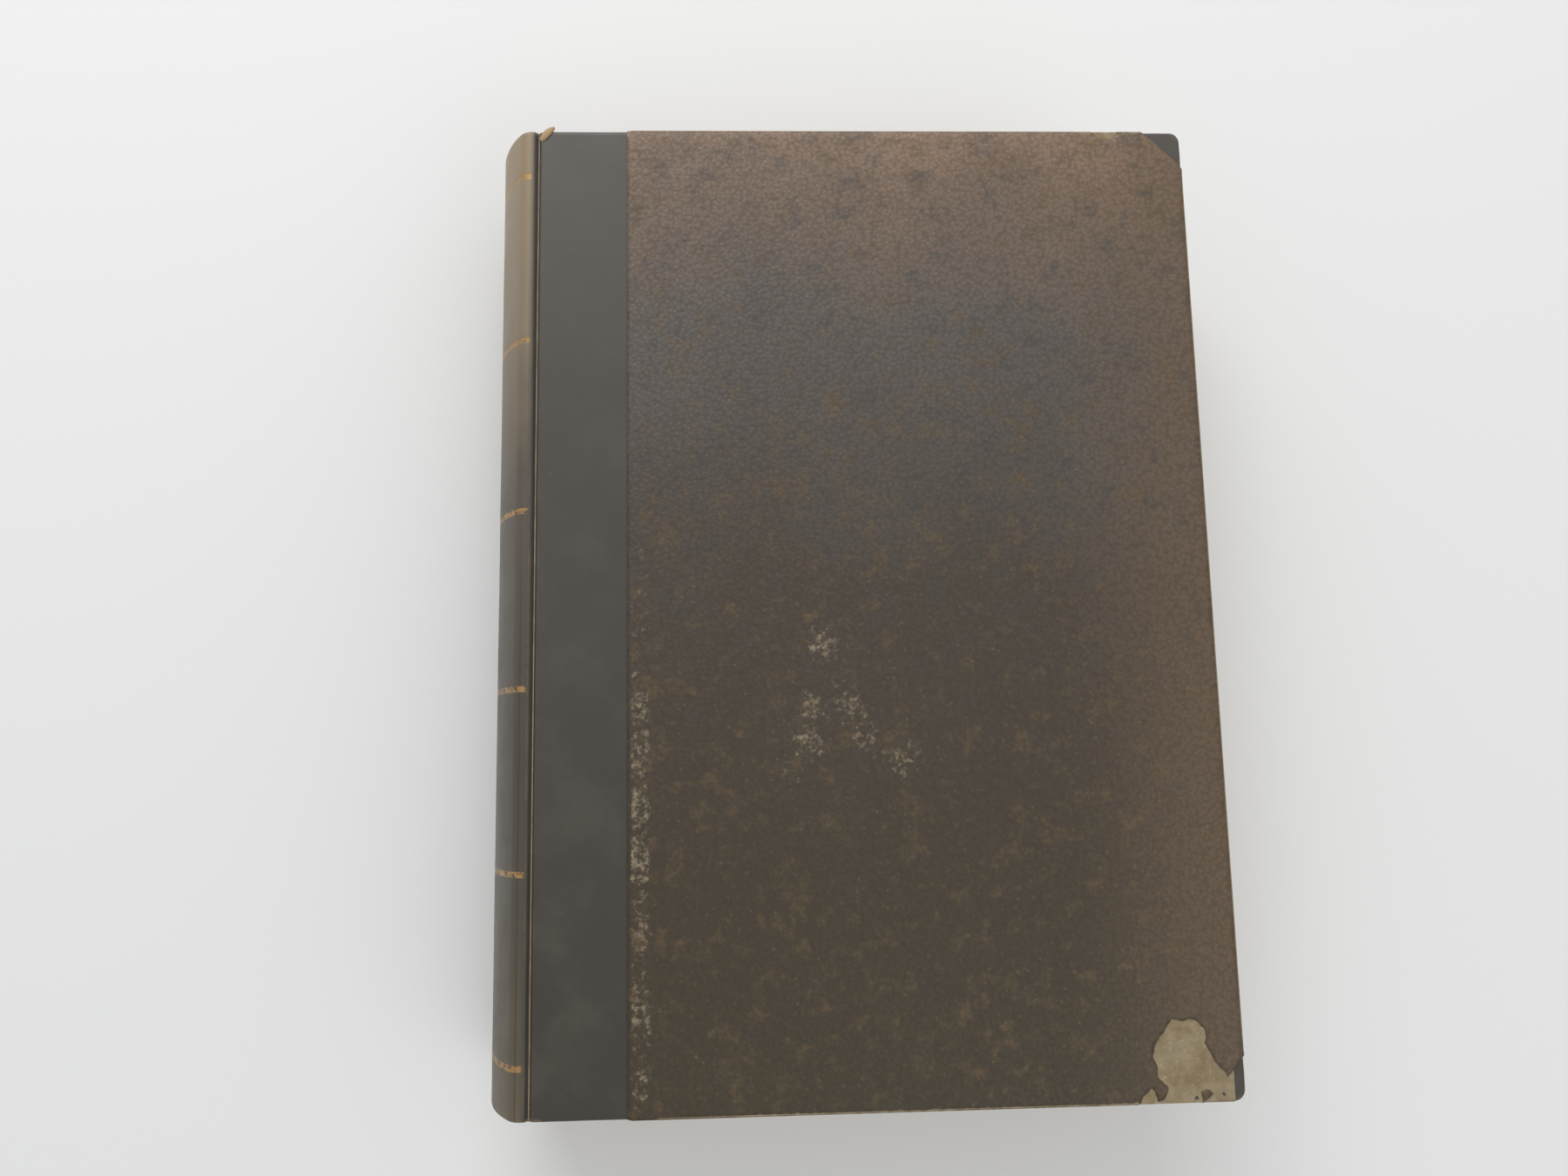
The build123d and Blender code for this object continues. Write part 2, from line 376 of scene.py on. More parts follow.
def back_arcs():
    """Points and inward normals round the back, from the front shoulder to the back one."""
    centre_z = THICK / 2
    rise = LEATHER_Z - SHOULDER_R - centre_z
    reach = BULGE + SHOULDER_X
    radius = (reach**2 + rise**2 - SHOULDER_R**2) / (2 * (reach - SHOULDER_R))
    middle_x = radius - BULGE
    lean = math.atan2(SHOULDER_X - middle_x, rise)  # from straight up
    points = []
    for angle in np.linspace(0, lean, 14):
        points.append((SHOULDER_X + SHOULDER_R * math.sin(angle),
                       centre_z + rise + SHOULDER_R * math.cos(angle),
                       -math.sin(angle), -math.cos(angle)))
    for angle in np.linspace(lean, -math.pi - lean, 70)[1:]:
        points.append((middle_x + radius * math.sin(angle), centre_z + radius * math.cos(angle),
                       -math.sin(angle), -math.cos(angle)))
    low = [(x, 2 * centre_z - z, nx, -nz) for x, z, nx, nz in reversed(points[:14])]
    return points + low[1:]


def joint_path():
    """The leather's top from the strip's hidden edge to the shoulder, with its groove."""
    corners = [
        (STRIP_HIDDEN, 0.0), (STRIP + 2, 0.0), (2.4, 0.0), (1.3, 0.02), (0.75, 0.16), (0.35, 0.5),
        (0.02, 0.82), (-0.3, 0.72), (-0.6, 0.3), (-0.95, -0.02), (-1.3, -0.05), (SHOULDER_X - 0.01, 0.0),
    ]
    xs = np.array([c[0] for c in corners])
    drop = np.array([c[1] for c in corners])
    flat = np.concatenate([np.arange(STRIP_HIDDEN, 2.4, -0.9), np.arange(2.4, SHOULDER_X, -0.13)])
    z = LEATHER_Z - np.interp(-flat, -xs, drop)
    kernel = np.array([1, 2, 1]) / 4
    z[1:-1] = np.convolve(z, kernel, "same")[1:-1]
    return [(x, zz, 0.0, -1.0) for x, zz in zip(flat, z)]


def skin_grid(path, tall_pitch):
    """Outer and inner layers of leather along a path, folded in at head and tail."""
    path = np.array(path)
    edge = HALF - PAPER
    fold = LEATHER_FOLD
    radius = LEATHER_ROLL
    v = np.concatenate([
        np.linspace(-(edge + 2 * radius + fold), -(edge + 6), 7),
        np.arange(-(edge + 5.5), -(edge - 3), 0.45),
        np.arange(-(edge - 3), edge - 3, tall_pitch),
        np.arange(edge - 3, edge + 5.5, 0.45),
        np.linspace(edge + 6, edge + 2 * radius + fold, 7),
    ])
    on_board = smooth(path[:, 0], -1.6, 0.8)
    rows = []
    inner_rows = []
    for (x, z, nx, nz), board in zip(path, on_board):
        depth = CAP_DEPTH + board * (COVER - 2 * PAPER - CAP_DEPTH)
        y, down, out, up = around_edge(v, edge, radius, depth)
        px = x + nx * down
        pz = z + nz * down
        rows.append(np.stack([px, y, pz], 1))
        down_in = down - SKIN * up
        inner_rows.append(np.stack([x + nx * down_in, y - SKIN * out, z + nz * down_in], 1))
    return np.array(rows), np.array(inner_rows)


def leather_wear(points):
    """Rubbed leather: the joint's two edges and the caps."""
    x, y, z = points.T
    near_top = smooth(z, THICK - 2.5, THICK - 1)
    near_low = smooth(-z, -2.5, -1)
    joint = np.exp(-((x + 1.1) / 0.5)**2) + 0.8 * np.exp(-((x - 0.9) / 0.45)**2)
    patchy = 0.5 + 0.5 * rough(np.stack([x * 0.4, y, z * 0.2], 1), 9.0, 4.0)
    wear = 0.6 * joint * np.maximum(near_top, near_low) * (0.25 + 0.75 * patchy)
    caps = smooth(np.abs(y), HALF - 1.6, HALF - 0.5)
    wear = np.maximum(wear, caps * np.where(x < 3, 0.8, 0.35))
    return np.clip(wear, 0, 1)


def leather_piece(name, path, nodes, material, flip, tall_pitch):
    """One piece of the leather, between the text block and a cover."""
    outer, inner = skin_grid(path, tall_pitch)
    rows, columns = outer.shape[:2]
    outer = outer.reshape(-1, 3)
    inner = inner.reshape(-1, 3)
    bump = 0.035 * rough(outer, 6.0, 5.0) + 0.05 * rough(outer, 22.0, 6.0)
    level = outer[:, 0] < -1.5
    bump = np.where(level, bump, -np.abs(bump) * 0.5)
    normals = outer - inner
    normals /= np.maximum(np.linalg.norm(normals, axis=1), 1e-6)[:, None]
    outer = outer + normals * bump[:, None]
    faces = grid_faces(rows, columns)
    points, faces = thickened(outer, inner, faces)
    wear = leather_wear(points)
    if flip:
        points[:, 2] = THICK - points[:, 2]
        faces = [tuple(reversed(f)) for f in faces]
    made = piece(name, points, faces, material, wear)
    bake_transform(made)
    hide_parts(*nodes)
    return made


# ---- leather corners

def corner_piece(name, body, node, material, head, flip):
    """A corner's leather: a triangle above, the walls and a triangle below."""
    legs = CORNER + 3.5
    bend = 2.4
    edge_x, edge_y = WIDTH - PAPER, HALF - PAPER
    a = np.linspace(0, 1, 61)
    straight = legs - bend
    arc = bend * math.pi / 2
    run = a * (2 * straight + arc)
    first = np.minimum(run, straight)
    angle = np.clip((run - straight) / bend, 0, math.pi / 2)
    last = np.maximum(run - straight - arc, 0)
    plan_x = edge_x - legs + first + bend * np.sin(angle)
    plan_y = edge_y - bend * (1 - np.cos(angle)) - last
    out_x, out_y = np.sin(angle), np.cos(angle)
    line_x = edge_x - legs + legs * a
    line_y = edge_y - legs * a
    radius = CORNER_ROLL
    depth_all = COVER - 2 * PAPER
    turn = np.linspace(0, math.pi / 2, 5)
    rows = []
    for k in np.linspace(0, 1, 22)[:-1]:
        rx, ry = plan_x - radius * out_x, plan_y - radius * out_y
        rows.append((line_x + (rx - line_x) * k, line_y + (ry - line_y) * k, 0 * a))
    for t in turn:
        inset = radius * (1 - math.sin(t))
        rows.append((plan_x - inset * out_x, plan_y - inset * out_y, 0 * a + radius * (1 - math.cos(t))))
    for t in turn[::-1]:
        inset = radius * (1 - math.sin(t))
        low = depth_all - radius * (1 - math.cos(t))
        rows.append((plan_x - inset * out_x, plan_y - inset * out_y, 0 * a + low))
    for k in np.linspace(1, 0, 22)[1:]:
        rx, ry = plan_x - radius * out_x, plan_y - radius * out_y
        rows.append((line_x + (rx - line_x) * k, line_y + (ry - line_y) * k, 0 * a + depth_all))
    rows = rows[:-1]
    points = np.array([np.stack([x, y, LEATHER_Z - d], 1) for x, y, d in rows])
    shape = points.shape[:2]
    outer = points.reshape(-1, 3)
    middle = np.array((edge_x - legs * 0.75, edge_y - legs * 0.75, LEATHER_Z - depth_all / 2))
    outer = outer + 0.04 * rough(outer, 2.5, 8.0)[:, None] * np.sign(outer - middle)
    shrink = np.array((0.96, 0.96, 0.72))
    inner = middle + (outer - middle) * shrink
    faces = grid_faces(*shape)[:, ::-1]
    points, faces = thickened(outer, inner, faces)
    wear = smooth(points[:, 0] + points[:, 1], edge_x + edge_y - 4.5, edge_x + edge_y - 1.0)
    side = smooth(points[:, 0], WIDTH - 1.2, WIDTH - 0.5)
    side = np.maximum(side, smooth(points[:, 1], HALF - 1.2, HALF - 0.5))
    wear = np.clip(0.7 * wear + 0.35 * side, 0, 1)
    if not head:
        points[:, 1] *= -1
        faces = [tuple(reversed(f)) for f in faces]
    if flip:
        points[:, 2] = THICK - points[:, 2]
        faces = [tuple(reversed(f)) for f in faces]
    made = piece(name, points, faces, material, wear)
    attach(made, body)
    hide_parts(node)
    return made


# ---- the pages

def pages(material):
    """The leaves: each row is the outline at one level, a little out of line with the next."""
    rows = 150
    across, tall = 46, 90
    level = np.linspace(-1, 1, rows)
    half_block = PAGE_Z - THICK / 2
    rings = []
    shift = rng.normal(0, 0.07, rows) + 0.1 * np.sin(level * 40)
    arcs = np.array(back_arcs())
    spine = arcs[:, :2] + arcs[:, 2:] * LEAVES_IN
    order = np.argsort(spine[:, 1])
    shoulder_half = LEATHER_Z - LEAVES_IN - THICK / 2
    for row, t in enumerate(level):
        spine_z = THICK / 2 + t * shoulder_half
        spine_x = np.interp(spine_z, spine[order, 1], spine[order, 0])
        spine_x = min(spine_x, -1.4)
        far_x = PAGE_X - HOLLOW * (1 - t * t) + shift[row]
        x = np.concatenate([np.linspace(spine_x, -0.9, 8), np.linspace(-0.7, far_x, across - 8)])
        flare = np.exp(-np.maximum(x - spine_x, 0) / 1.4)
        limit = np.where(x > -0.8, 0.0, 1.0)
        half_here = half_block + (shoulder_half - half_block) * flare * limit
        z = THICK / 2 + t * half_here
        v = np.linspace(-1, 1, tall)
        y = PAGE_Y - 0.05 + 0.6 * shift[(row * 7) % rows] + 0 * x
        head = np.stack([x, y, z], 1)
        fore = np.stack([far_x + 0 * v, -v * (y[0] - 0.3), z[-1] + 0 * v], 1)
        tail = np.stack([x[::-1], -y, z[::-1]], 1)
        close = np.stack([spine_x + 0 * v[::6], v[::6] * (y[0] - 0.3), z[0] + 0 * v[::6]], 1)
        rings.append(np.vstack([head, fore, tail, close]))
    rings = np.array(rings)
    count = rings.shape[1]
    points = rings.reshape(-1, 3)
    sway = 0.1 * rough(points * np.array((1, 1, 6.0)), 30.0, 12.0)
    out = np.zeros_like(points)
    out[:, 1] = np.sign(points[:, 1]) * (np.abs(points[:, 1]) > PAGE_Y - 1.0)
    out[:, 0] = (points[:, 0] > PAGE_X - 6) & (np.abs(points[:, 1]) < PAGE_Y - 1.0)
    points = points + out * (sway - 0.1)[:, None]
    faces = [tuple(f) for f in grid_faces(rows, count, closed=True)]
    tail_start = across + tall
    for first in (0, (rows - 1) * count):
        lid = [(i, i + 1, tail_start + across - 2 - i, tail_start + across - 1 - i)
               for i in range(across - 1)]
        lid[-1] = tuple(range(across - 2, tail_start + 2))
        lid[0] = (0, 1) + tuple(range(tail_start + across - 2, count))
        lid = [tuple(first + i for i in face) for face in lid]
        faces += lid if first == 0 else [tuple(reversed(face)) for face in lid]
    made = piece("pages", points, [tuple(reversed(f)) for f in faces], material)
    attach(made, "book_block")
    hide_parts("text_block")
    return made


def headband(name, node, material, end):
    """A sewn band of thread wound over a core, in two colours by turns."""
    arcs = np.array(back_arcs())
    path = arcs[:, :2] + arcs[:, 2:] * BAND_IN
    length = np.concatenate([[0], np.cumsum(np.hypot(*np.diff(path, axis=0).T))])
    turns = int(length[-1] / 0.62)
    s = np.linspace(0, length[-1], turns * 6 + 1)
    cx = np.interp(s, length, path[:, 0])
    cz = np.interp(s, length, path[:, 1])
    nx = np.interp(s, length, arcs[:, 2])
    nz = np.interp(s, length, arcs[:, 3])
    rings = []
    wound = np.abs(np.sin(np.linspace(0, turns * math.pi, len(s))))
    for i in range(len(s)):
        radius = 0.82 + 0.22 * wound[i]**0.6
        angle = np.linspace(0, 2 * math.pi, 14, endpoint=False)
        side = radius * np.cos(angle)
        up = radius * np.sin(angle)
        y = end * (PAGE_Y + BAND_RADIUS + up)
        rings.append(np.stack([cx[i] + nx[i] * side, y, cz[i] + nz[i] * side], 1))
    rings = np.array(rings)
    faces = [tuple(f) for f in grid_faces(len(s), 14, closed=True)]
    faces += [tuple(range(14)), tuple(range((len(s) - 1) * 14, len(s) * 14))[::-1]]
    stripe = np.repeat((np.arange(len(s)) // 18) % 2, 14)
    made = piece(name, rings.reshape(-1, 3), faces, material, stripe)
    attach(made, "book_block")
    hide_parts(node)
    return made


def endpaper_hinge(name, material, flip):
    """The folded strip of the endpaper that lies in the joint."""
    fold = [(0.6, -4.02), (-0.1, -4.0), (-0.5, -3.9), (-0.62, -3.5), (-0.63, -2.6), (-0.6, -1.9),
            (-0.45, -1.65), (-0.3, -1.6), (-0.15, -1.65), (-0.08, -1.9), (-0.07, -2.6),
            (-0.06, -3.4), (0.1, -3.78), (1.2, -3.82)]
    fold = np.array(fold)
    y = np.linspace(-PAGE_Y, PAGE_Y, 120)
    normal = np.gradient(fold, axis=0)
    normal = np.stack([-normal[:, 1], normal[:, 0]], 1)
    normal /= np.linalg.norm(normal, axis=1)[:, None]
    layers = []
    for shift in (0.0, 0.1):
        line = fold + normal * shift
        layers.append(np.array([[(x, yy, THICK + z) for yy in y] for x, z in line]).reshape(-1, 3))
    points, faces = thickened(layers[0], layers[1], grid_faces(len(fold), len(y)))
    if flip:
        points[:, 2] = THICK - points[:, 2]
        faces = [tuple(reversed(f)) for f in faces]
    made = piece(name, points, faces, material)
    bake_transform(made)
    return made


def bare_board(material):
    """The pasteboard in the torn place: rough, with a rounded tail edge, and wider than the tear."""
    xs = np.arange(WIDTH - 28, WIDTH - 2.5, 0.3)
    edge = HALF - 0.12
    s = np.arange(-edge - 2.6, -HALF + 20.5, 0.3)
    y, down = around_edge(s, edge, 0.6, COVER)[:2]
    grid_x, grid_y = np.meshgrid(xs, y, indexing="ij")
    depth = np.tile(down, (len(xs), 1)) + 0.27
    outer = np.stack([grid_x, grid_y, THICK - depth], -1).reshape(-1, 3)
    relief = 0.04 * rough(outer, 1.6, 21.0) + 0.04 * rough(outer, 4.5, 22.0)
    outer[:, 2] += np.clip(relief, -0.02, 0.05)
    inner = outer.copy()
    inner[:, 2] -= 0.5
    inner[:, 1] += 0.4
    points, faces = thickened(outer, inner, grid_faces(len(xs), len(s)))
    made = piece("bare_board", points, [tuple(reversed(f)) for f in faces], material)
    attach(made, "front_cover")
    return made


def frayed_leather(material):
    """A torn tag of leather that stands up at the head of the front joint."""
    along = np.linspace(0, 1, 15)
    across = np.linspace(-1, 1, 9)
    rows = []
    for t in along:
        width = 0.85 * math.sin(math.pi * min(0.97, 0.12 + 0.85 * t))**0.6
        for w in across:
            x = 0.5 + 3.3 * t + 0.6 * w * width
            y = HALF - 2.8 + 3.5 * t - 0.8 * w * width
            z = LEATHER_Z + 0.2 + 0.45 * math.sin(math.pi * t) - 0.3 * w * w
            rows.append((x, y, z + 0.15 * noise.noise(Vector((x, y, 3)) * 2)))
    outer = np.array(rows)
    inner = outer - np.array((0, 0, 0.35))
    points, faces = thickened(outer, inner, grid_faces(len(along), len(across))[:, ::-1])
    made = piece("frayed_tag", points, faces, material, np.ones(len(points)))
    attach(made, "front_cover")
    return made


# ---- materials

class Paint:
    """A material's node tree, with short calls for the nodes that are used here."""

    def __init__(self, name, roughness, specular=0.5):
        self.material = bpy.data.materials.new(name)
        self.material.use_nodes = True
        self.tree = self.material.node_tree
        self.shader = self.tree.nodes["Principled BSDF"]
        self.shader.inputs["Roughness"].default_value = roughness
        self.shader.inputs["Specular IOR Level"].default_value = specular
        self.place = self.attribute("place").outputs["Vector"]
        self.wear = self.attribute("wear").outputs["Fac"]

    def attribute(self, name):
        node = self.tree.nodes.new("ShaderNodeAttribute")
        node.attribute_name = name
        return node

    def put(self, socket, value):
        if isinstance(value, bpy.types.NodeSocket):
            self.tree.links.new(value, socket)
        else:
            socket.default_value = value

    def stretch(self, sizes):
        """The place divided by a size on each axis, in millimetres."""
        node = self.tree.nodes.new("ShaderNodeVectorMath")
        node.operation = "DIVIDE"
        self.put(node.inputs[0], self.place)
        node.inputs[1].default_value = sizes
        return node.outputs[0]

    def noise(self, size, detail=3.0, sharp=0.5, sizes=None):
        node = self.tree.nodes.new("ShaderNodeTexNoise")
        node.inputs["Scale"].default_value = 1.0
        node.inputs["Detail"].default_value = detail
        node.inputs["Roughness"].default_value = sharp
        self.put(node.inputs["Vector"], self.stretch(sizes or (size, size, size)))
        return node.outputs["Fac"]

    def cells(self, size, feature="F1"):
        node = self.tree.nodes.new("ShaderNodeTexVoronoi")
        node.feature = feature
        node.inputs["Scale"].default_value = 1.0
        self.put(node.inputs["Vector"], self.stretch((size, size, size)))
        return node.outputs["Distance"]

    def axis(self, index):
        node = self.tree.nodes.new("ShaderNodeSeparateXYZ")
        self.put(node.inputs[0], self.place)
        return node.outputs[index]

    def math(self, operation, a, b=0.0, c=0.0):
        node = self.tree.nodes.new("ShaderNodeMath")
        node.operation = operation
        for socket, value in zip(node.inputs, (a, b, c)):
            self.put(socket, value)
        return node.outputs[0]

    def ramp(self, value, low, high, out_low=0.0, out_high=1.0):
        node = self.tree.nodes.new("ShaderNodeMapRange")
        node.interpolation_type = "SMOOTHSTEP"
        for name, number in (("Value", value), ("From Min", low), ("From Max", high),
                             ("To Min", out_low), ("To Max", out_high)):
            self.put(node.inputs[name], number)
        return node.outputs["Result"]

    def colour(self, factor, first, second):
        node = self.tree.nodes.new("ShaderNodeMix")
        node.data_type = "RGBA"
        self.put(node.inputs["Factor"], factor)
        for socket, value in ((node.inputs[6], first), (node.inputs[7], second)):
            if not isinstance(value, bpy.types.NodeSocket):
                value = (*value, 1.0)
            self.put(socket, value)
        return node.outputs[2]

    def stops(self, value, places):
        """A colour ramp through (place, colour) pairs."""
        node = self.tree.nodes.new("ShaderNodeValToRGB")
        self.put(node.inputs["Fac"], value)
        ramp = node.color_ramp
        while len(ramp.elements) < len(places):
            ramp.elements.new(0.5)
        for element, (at, shade) in zip(ramp.elements, places):
            element.position = at
            element.color = (*shade, 1.0)
        return node.outputs["Color"]

    def finish(self, colour, height=None, depth=0.1, strength=1.0, roughness=None):
        self.put(self.shader.inputs["Base Color"], colour)
        if roughness is not None:
            self.put(self.shader.inputs["Roughness"], roughness)
        if height is not None:
            bump = self.tree.nodes.new("ShaderNodeBump")
            bump.inputs["Strength"].default_value = strength
            bump.inputs["Distance"].default_value = depth * MM
            self.put(bump.inputs["Height"], height)
            self.put(self.shader.inputs["Normal"], bump.outputs["Normal"])
        return self.material


def pebbled_paper():
    """Embossed brown-black paper, paler toward the head with painted light from the head and a painted grey
    sheen, and paler where it is rubbed.
    """
    p = Paint("pebbled_paper", 0.5, 0.42)
    up = p.math("ADD", p.math("MULTIPLY", p.axis(1), 1 / (2 * HALF)), 0.5)
    wander = p.math("MULTIPLY_ADD", p.noise(38.0, 3.0), 0.22, -0.11)
    # Paler toward the head: painted light falling from the head; the brown at the head edge is partly wear.
    tone_with_painted_light = p.stops(p.math("ADD", up, wander), [
        (0.0, (0.05, 0.037, 0.018)), (0.22, (0.052, 0.038, 0.021)), (0.5, (0.064, 0.048, 0.033)),
        (0.78, (0.1, 0.086, 0.074)), (0.93, (0.17, 0.115, 0.078)), (1.0, (0.25, 0.165, 0.11)),
    ])
    fore = p.ramp(p.axis(0), WIDTH - 42, WIDTH + 4)
    brown = p.colour(p.math("MULTIPLY", fore, 0.7), tone_with_painted_light, (0.15, 0.097, 0.057))
    grain = p.cells(1.05)
    fine = p.noise(0.75, 4.0, 0.6)
    blotch = p.noise(4.0, 3.0, 0.6)
    ochre = p.colour(p.ramp(blotch, 0.5, 0.75, 0.0, 0.6), brown, (0.125, 0.08, 0.035))
    # A painted sheen: grey patches that stand for the window's reflection, stronger toward the head.
    painted_sheen = p.ramp(p.noise(5.5, 3.0, 0.6), 0.52, 0.75, 0.0, 0.5)
    painted_sheen = p.math("MULTIPLY", painted_sheen, p.ramp(up, 0.3, 0.6, 0.25, 1.0))
    with_painted_sheen = p.colour(painted_sheen, ochre, (0.052, 0.052, 0.052))
    pits = p.math("ADD", grain, p.math("MULTIPLY_ADD", fine, 0.9, -0.45))
    # Darker in the grain's grooves: painted shade.
    dark = p.colour(p.ramp(pits, 0.25, 0.85, 0.0, 0.34), with_painted_sheen, (0.03, 0.024, 0.016))
    flecks = p.math("MULTIPLY", p.ramp(p.noise(1.1, 4.0, 0.65), 0.56, 0.7), p.ramp(grain, 0.55, 0.2))
    base = p.colour(p.math("MULTIPLY", flecks, 0.35), dark, (0.2, 0.15, 0.1))
    speck = p.noise(1.7, 6.0, 0.75)
    limit = p.math("SUBTRACT", 0.8, p.math("MULTIPLY", p.wear, 0.36))
    rubbed = p.ramp(p.math("SUBTRACT", speck, limit), -0.07, 0.11)
    rubbed = p.math("MULTIPLY", rubbed, p.ramp(p.wear, 0.02, 0.3))
    pale = p.colour(p.noise(2.5, 2.0), (0.17, 0.125, 0.075), (0.4, 0.32, 0.21))
    colour = p.colour(p.math("MULTIPLY", rubbed, 0.85), base, pale)
    height = p.math("ADD", p.math("MULTIPLY", grain, -0.8), p.math("MULTIPLY", fine, 0.5))
    rough_at = p.ramp(fine, 0.3, 0.7, 0.42, 0.62)
    return p.finish(colour, height, 0.16, 0.75, p.math("MAXIMUM", rough_at, p.math("MULTIPLY", rubbed, 0.9)))


def dark_leather():
    """Smooth fine-grained leather, faded on the back and paler toward the head with painted light, with
    painted shade in the joint's groove and in a crease on the back, and with worn gilt lines across it.
    """
    p = Paint("dark_leather", 0.48, 0.42)
    x, y = p.axis(0), p.axis(1)
    grain = p.noise(0.55, 5.0, 0.65)
    mottled = p.noise(14.0, 4.0, 0.6)
    up = p.math("ADD", p.math("MULTIPLY", y, 1 / (2 * HALF)), 0.5)
    # The strip darker toward the tail and paler toward the head: painted light from the head.
    strip = p.stops(up, [
        (0.0, (0.044, 0.039, 0.029)), (0.5, (0.06, 0.054, 0.045)), (1.0, (0.08, 0.07, 0.06)),
    ])
    strip = p.colour(p.ramp(mottled, 0.45, 0.7, 0.0, 0.4), strip, (0.083, 0.071, 0.055))
    # Paler and tanner toward the head of the back: partly painted light from the head, partly the leather's
    # fade.
    faded = p.stops(p.math("ADD", up, p.math("MULTIPLY_ADD", mottled, 0.14, -0.07)), [
        (0.0, (0.125, 0.1, 0.062)), (0.12, (0.082, 0.067, 0.046)), (0.35, (0.068, 0.058, 0.043)),
        (0.62, (0.096, 0.078, 0.058)), (0.8, (0.215, 0.17, 0.112)), (1.0, (0.29, 0.215, 0.13)),
    ])
    on_back = p.ramp(x, -0.6, -2.2)
    colour = p.colour(on_back, strip, faded)
    # Darker along the joint's groove: painted shade.
    groove = p.ramp(p.math("ABSOLUTE", p.math("SUBTRACT", x, 0.05)), 0.75, 0.1)
    colour = p.colour(p.math("MULTIPLY", groove, 0.8), colour, (0.02, 0.017, 0.013))
    # A dark line in a crease on the lower half of the back: painted shade.
    crease_shade = p.ramp(p.math("ABSOLUTE", p.math("ADD", x, 2.9)), 0.35, 0.0)
    low_half = p.ramp(y, 30.0, -20.0)
    crease_shade = p.math("MULTIPLY", p.math("MULTIPLY", crease_shade, low_half), 0.5)
    colour = p.colour(crease_shade, colour, (0.03, 0.026, 0.02))
    patch = p.ramp(p.noise(1.6, 5.0, 0.7, (1.2, 3.5, 2.0)), 0.3, 0.62)
    rubbed = p.math("MULTIPLY", p.ramp(p.wear, 0.15, 0.9), patch)
    colour = p.colour(p.math("MULTIPLY", rubbed, 0.85), colour, (0.235, 0.16, 0.088))
    specks = p.ramp(p.noise(2.2, 5.0, 0.7), 0.73, 0.78)
    colour = p.colour(p.math("MULTIPLY", specks, 0.5), colour, (0.22, 0.18, 0.13))
    step = p.math("DIVIDE", p.math("SUBTRACT", HALF - GILT_FIRST, y), GILT_PITCH)
    nearest = p.math("ROUND", step)
    off = p.math("ABSOLUTE", p.math("MULTIPLY", p.math("SUBTRACT", step, nearest), GILT_PITCH))
    line = p.ramp(off, 0.8, 0.55)
    line = p.math("MULTIPLY", line, p.ramp(x, -1.2, -1.9))
    line = p.math("MULTIPLY", line, p.ramp(p.math("ABSOLUTE", y), HALF - 6.0, HALF - 8.0))
    kept = p.ramp(p.noise(1.4, 4.0, 0.7), 0.4, 0.56)
    gilt = p.math("MULTIPLY", line, kept)
    tan = p.colour(p.noise(3.0), (0.33, 0.18, 0.065), (0.52, 0.31, 0.11))
    colour = p.colour(p.math("MULTIPLY", gilt, 0.9), colour, tan)
    p.put(p.shader.inputs["Metallic"], p.math("MULTIPLY", gilt, 0.35))
    height = p.math("SUBTRACT", p.math("MULTIPLY", grain, 0.55), p.math("MULTIPLY", line, 0.9))
    rough_at = p.math("ADD", p.ramp(mottled, 0.3, 0.7, 0.4, 0.52), p.math("MULTIPLY", rubbed, 0.3))
    return p.finish(colour, height, 0.09, 0.6, rough_at)


def page_paper():
    """Aged edges of the leaves, with fine lines of painted shade between them and dust at the head."""
    p = Paint("page_edges", 0.85, 0.2)
    lines = p.noise(1.0, 2.0, 0.6, (18.0, 18.0, 0.16))
    wide = p.noise(1.0, 2.0, 0.5, (60.0, 60.0, 1.1))
    age = p.noise(22.0, 4.0, 0.6)
    colour = p.colour(age, (0.56, 0.45, 0.29), (0.68, 0.58, 0.41))
    colour = p.colour(p.ramp(wide, 0.5, 0.75, 0.0, 0.45), colour, (0.42, 0.32, 0.19))
    # Darker lines between the leaves: painted shade in the gaps.
    colour = p.colour(p.ramp(lines, 0.48, 0.66, 0.0, 0.5), colour, (0.3, 0.22, 0.13))
    dust = p.math("MULTIPLY", p.ramp(p.axis(1), HALF - 6, HALF - 3.6), p.ramp(age, 0.25, 0.7))
    colour = p.colour(p.math("MULTIPLY", dust, 0.6), colour, (0.3, 0.24, 0.16))
    return p.finish(colour, lines, 0.1, 0.8)


def end_paper():
    """Plain cream endpaper with foxing and a yellowed border."""
    p = Paint("endpaper", 0.8, 0.2)
    fibre = p.noise(0.9, 4.0, 0.6)
    spots = p.math("MULTIPLY", p.ramp(p.noise(6.0, 5.0, 0.7), 0.66, 0.74), 0.5)
    colour = p.colour(p.noise(45.0), (0.62, 0.53, 0.36), (0.7, 0.62, 0.46))
    colour = p.colour(spots, colour, (0.42, 0.26, 0.11))
    rim = p.ramp(p.math("ABSOLUTE", p.axis(1)), HALF - 22, HALF - 3)
    rim = p.math("MAXIMUM", rim, p.ramp(p.axis(0), WIDTH - 22, WIDTH - 3))
    colour = p.colour(p.math("MULTIPLY", rim, 0.45), colour, (0.45, 0.33, 0.18))
    return p.finish(colour, fibre, 0.03, 0.4)


